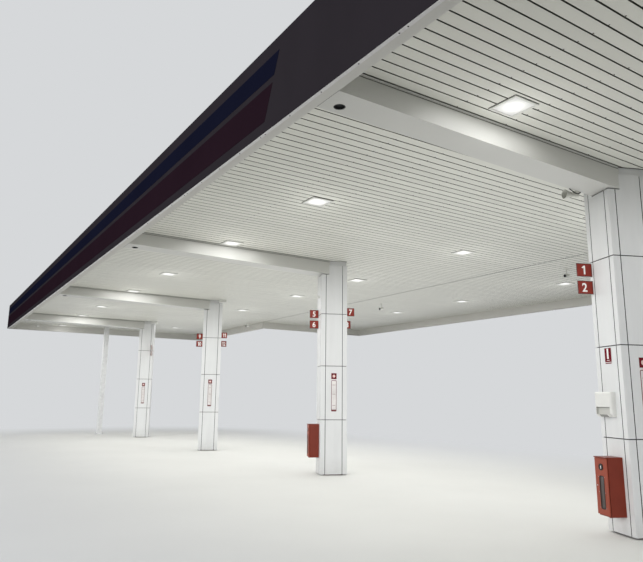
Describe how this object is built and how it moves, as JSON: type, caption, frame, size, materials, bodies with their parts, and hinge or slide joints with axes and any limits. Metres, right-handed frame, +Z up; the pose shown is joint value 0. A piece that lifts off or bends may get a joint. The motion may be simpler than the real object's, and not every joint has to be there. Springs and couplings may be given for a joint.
{
  "type": "filling station canopy",
  "caption": "T-shaped forecourt canopy on a row of skewed clad columns, with boxed fascia, pan soffit with square downlights, number flags and extinguisher cabinets.",
  "frame": {"origin": "centre of the underside of column 1's base plate, at ground level", "axes": "+Z up, +X along the row of columns towards the near end, -Y towards the street fascia, +Y towards the shop"},
  "size_m": [30.01, 14.31, 5.65],
  "materials": {
    "galvanised_steel": "hot-dip galvanised",
    "primed_steel": "grey primer, matt",
    "white_cladding": "white powder coat, satin",
    "white_soffit": "white coil-coated pans, satin",
    "fascia_grey": "charcoal grey coated metal, satin",
    "stripe_maroon": "maroon film on metal, satin",
    "stripe_blue": "dark blue film on metal, satin",
    "roof_sheet": "pale grey coated profiled sheet",
    "lamp_body": "white powder coat",
    "lamp_lens": "lit opal lens",
    "red_plate": "red coated plate",
    "red_cabinet": "red gloss paint",
    "red_door": "red moulded door",
    "white_plastic": "white moulded plastic",
    "notice_plate": "white coated plate"
  },
  "bodies": {
    "canopy": {"column_1_post": "primed_steel", "column_2_post": "primed_steel", "column_3_post": "primed_steel", "column_4_post": "primed_steel", "column_1_cladding": "white_cladding", "column_2_cladding": "white_cladding", "column_3_cladding": "white_cladding", "column_4_cladding": "white_cladding", "beam_1_casing": "white_cladding", "beam_2_casing": "white_cladding", "beam_3_casing": "white_cladding", "beam_4_casing": "white_cladding", "beam_trims": "white_cladding", "rafters": "primed_steel", "purlins": "galvanised_steel", "roof_sheet_main": "roof_sheet", "roof_sheet_link": "roof_sheet", "box_gutter": "galvanised_steel", "fascia_front": "fascia_grey", "fascia_near_end": "fascia_grey", "fascia_back_near": "fascia_grey", "fascia_link_near": "fascia_grey", "fascia_link_back": "fascia_grey", "fascia_link_far": "fascia_grey", "fascia_back_far": "fascia_grey", "fascia_far_end": "fascia_grey", "maroon_stripes": "stripe_maroon", "blue_stripes": "stripe_blue", "soffit_near_end": "white_soffit", "soffit_bay_1": "white_soffit", "soffit_bay_2": "white_soffit", "soffit_bay_3": "white_soffit", "soffit_far_end": "white_soffit", "soffit_link": "white_soffit", "downlight_frames": "lamp_body", "downlight_lenses": "lamp_lens", "number_flags": "red_plate", "cabinet_1_body": "red_cabinet", "cabinet_2_body": "red_cabinet", "towel_dispenser": "white_plastic", "sign_plates": "notice_plate", "ceiling_fittings": "white_plastic", "slim_post": "white_cladding"},
    "door_1": {"cabinet_1_door": "red_door"},
    "door_2": {"cabinet_2_door": "red_door"}
  },
  "joints": [
    {"name": "cabinet_1_hinge", "type": "hinge", "parent": "canopy", "child": "door_1", "pos_m": [-0.10114, -0.53349, 0.602], "axis": [0, 0, 1], "range_deg": [0, 110]},
    {"name": "cabinet_2_hinge", "type": "hinge", "parent": "canopy", "child": "door_2", "pos_m": [-7.30114, -0.53349, 0.735], "axis": [0, 0, 1], "range_deg": [0, 110]}
  ]
}
